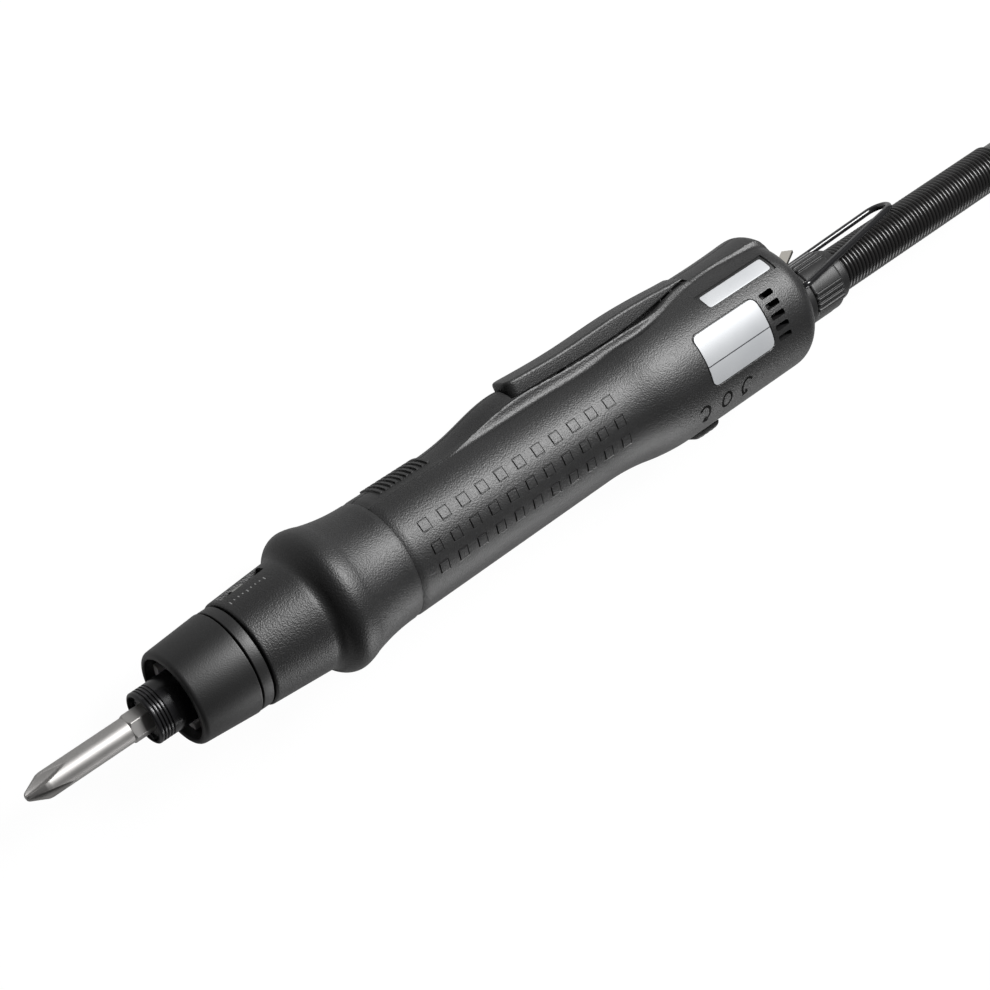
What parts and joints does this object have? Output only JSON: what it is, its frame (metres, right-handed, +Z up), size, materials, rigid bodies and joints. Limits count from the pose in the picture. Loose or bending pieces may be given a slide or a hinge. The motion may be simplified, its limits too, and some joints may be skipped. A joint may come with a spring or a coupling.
{
  "type": "electric screwdriver",
  "caption": "Inline corded assembly screwdriver with lever start, torque adjuster at the nose, bit and hanger.",
  "frame": {"origin": "on the drive axis, in the plane of the nose ring's front face", "axes": "+X along the drive axis towards the cable, +Y towards the start lever, +Z up, the label side"},
  "size_m": [0.5792, 0.0478, 0.0399],
  "materials": {
    "black_steel": "blackened steel",
    "body_black": "fine textured moulded plastic",
    "nose_black": "smooth satin plastic",
    "bright_steel": "turned steel",
    "bit_steel": "grey hardened steel",
    "grey_metal": "cast, bead blasted",
    "label_silver": "satin foil",
    "cable_rubber": "matt",
    "copper": "enamelled wire",
    "board_green": "solder mask",
    "brass_contacts": "plated",
    "hanger_black": "black coated wire",
    "inner_plastic": "plain moulded plastic",
    "nickel": "nickel plated",
    "pointer_white": "plain"
  },
  "bodies": {
    "housing": {"spacer_collar": "nose_black", "torque_spring": "bright_steel", "ring_gear": "bright_steel", "gearbox_bearing": "bright_steel", "front_housing": "body_black", "motor_can": "grey_metal", "motor_cap": "grey_metal", "motor_bearing_front": "bright_steel", "motor_bearing_rear": "bright_steel", "stator": "copper", "housing_label_half": "body_black", "housing_plain_half": "body_black", "housing_screws": "bright_steel", "lever_pin": "bright_steel", "lever_spring": "bright_steel", "start_switch": "inner_plastic", "direction_switch": "inner_plastic", "control_board": "board_green", "board_chips": "inner_plastic", "small_label": "label_silver", "large_label": "label_silver", "rear_socket": "nose_black", "socket_pins": "brass_contacts", "plug_body": "nose_black", "hub_clip": "nickel", "bend_sleeve": "cable_rubber", "cord_lead": "cable_rubber", "cord_coil": "cable_rubber", "cord_tie": "cable_rubber", "connector_body": "nose_black", "connector_grip": "nose_black", "connector_insert": "inner_plastic"},
    "spindle": {"driver_bit": "bit_steel", "output_spindle": "bright_steel", "sleeve_circlip": "bright_steel", "sleeve_spring": "bright_steel", "planet_carrier": "bright_steel", "planet_pins": "bright_steel", "clutch_balls": "bright_steel"},
    "bit_sleeve": {"bit_sleeve": "black_steel"},
    "lock_ball_1": {"lock_ball_1": "bright_steel"},
    "lock_ball_2": {"lock_ball_2": "bright_steel"},
    "clutch_plate": {"clutch_plate": "bright_steel", "thrust_washer": "bright_steel"},
    "rotor": {"rotor": "bright_steel", "sun_pinion": "bright_steel"},
    "planet_1": {"planet_gear_1": "bright_steel"},
    "planet_2": {"planet_gear_2": "bright_steel"},
    "planet_3": {"planet_gear_3": "bright_steel"},
    "torque_ring": {"torque_ring": "nose_black", "nose_insert": "grey_metal", "spindle_bush": "brass_contacts"},
    "torque_nut": {"torque_nut": "pointer_white"},
    "lever": {"lever": "body_black"},
    "plunger": {"switch_plunger": "pointer_white"},
    "slider": {"direction_slider": "body_black"},
    "plug_ring": {"plug_ring": "nose_black"},
    "hanger": {"hanger": "hanger_black"}
  },
  "joints": [
    {"name": "spindle_spin", "type": "hinge", "parent": "housing", "child": "spindle", "pos_m": [0, 0, 0], "axis": [1, 0, 0], "continuous": true},
    {"name": "sleeve_slide", "type": "slide", "parent": "spindle", "child": "bit_sleeve", "axis": [1, 0, 0], "range_m": [0, 0.0025], "stiffness_N_per_m": 600, "springref_m": -0.0015, "deforming": ["sleeve_spring"]},
    {"name": "ball_1_slide", "type": "slide", "parent": "spindle", "child": "lock_ball_1", "axis": [0, 0, 1], "range_m": [0, 0.00056]},
    {"name": "ball_2_slide", "type": "slide", "parent": "spindle", "child": "lock_ball_2", "axis": [0, 0, -1], "range_m": [0, 0.00056]},
    {"name": "clutch_release", "type": "slide", "parent": "spindle", "child": "clutch_plate", "axis": [-1, 0, 0], "range_m": [0, 0.0008], "stiffness_N_per_m": 4000, "springref_m": -0.001},
    {"name": "rotor_spin", "type": "hinge", "parent": "housing", "child": "rotor", "pos_m": [0.09, 0, 0], "axis": [1, 0, 0], "continuous": true},
    {"name": "torque_turn", "type": "hinge", "parent": "housing", "child": "torque_ring", "pos_m": [0.008, 0, 0], "axis": [1, 0, 0], "range_deg": [-360, 360]},
    {"name": "nut_slide", "type": "slide", "parent": "housing", "child": "torque_nut", "axis": [1, 0, 0], "range_m": [-0.00401, 0.00401], "deforming": ["torque_spring"]},
    {"name": "lever_press", "type": "hinge", "parent": "housing", "child": "lever", "pos_m": [0.1649, 0.0156, 0], "axis": [0, 0, 1], "range_deg": [0, 1.8], "stiffness_Nm_per_rad": 0.6, "springref_deg": -5.73, "deforming": ["lever_spring"]},
    {"name": "plunger_slide", "type": "slide", "parent": "housing", "child": "plunger", "axis": [0, -1, 0], "range_m": [0, 0.0012]},
    {"name": "direction_slide", "type": "slide", "parent": "housing", "child": "slider", "axis": [1, 0, 0], "range_m": [-0.0075, 0.0075]},
    {"name": "plug_ring_turn", "type": "hinge", "parent": "housing", "child": "plug_ring", "pos_m": [0.21, -0.0036, 0], "axis": [1, 0, 0], "range_deg": [0, 40]},
    {"name": "hanger_swing", "type": "hinge", "parent": "housing", "child": "hanger", "pos_m": [0.201, 0.0009, 0], "axis": [0, 0, 1], "range_deg": [0, 90]},
    {"name": "planet_1_spin", "type": "hinge", "parent": "spindle", "child": "planet_1", "pos_m": [0.0614, 0.00607, 0], "axis": [1, 0, 0], "continuous": true},
    {"name": "planet_2_spin", "type": "hinge", "parent": "spindle", "child": "planet_2", "pos_m": [0.0614, -0.00303, 0.00525], "axis": [1, 0, 0], "continuous": true},
    {"name": "planet_3_spin", "type": "hinge", "parent": "spindle", "child": "planet_3", "pos_m": [0.0614, -0.00303, -0.00525], "axis": [1, 0, 0], "continuous": true}
  ],
  "couplings": [
    {"joint": "rotor_spin", "follows": "spindle_spin", "ratio": 5},
    {"joint": "ball_1_slide", "follows": "sleeve_slide", "ratio": 0.22},
    {"joint": "ball_2_slide", "follows": "sleeve_slide", "ratio": 0.22},
    {"joint": "nut_slide", "follows": "torque_turn", "m_per_rad": 0.00063662},
    {"joint": "plunger_slide", "follows": "lever_press", "m_per_rad": 0.0341},
    {"joint": "planet_1_spin", "follows": "spindle_spin", "ratio": -2.6667},
    {"joint": "planet_2_spin", "follows": "spindle_spin", "ratio": -2.6667},
    {"joint": "planet_3_spin", "follows": "spindle_spin", "ratio": -2.6667}
  ]
}
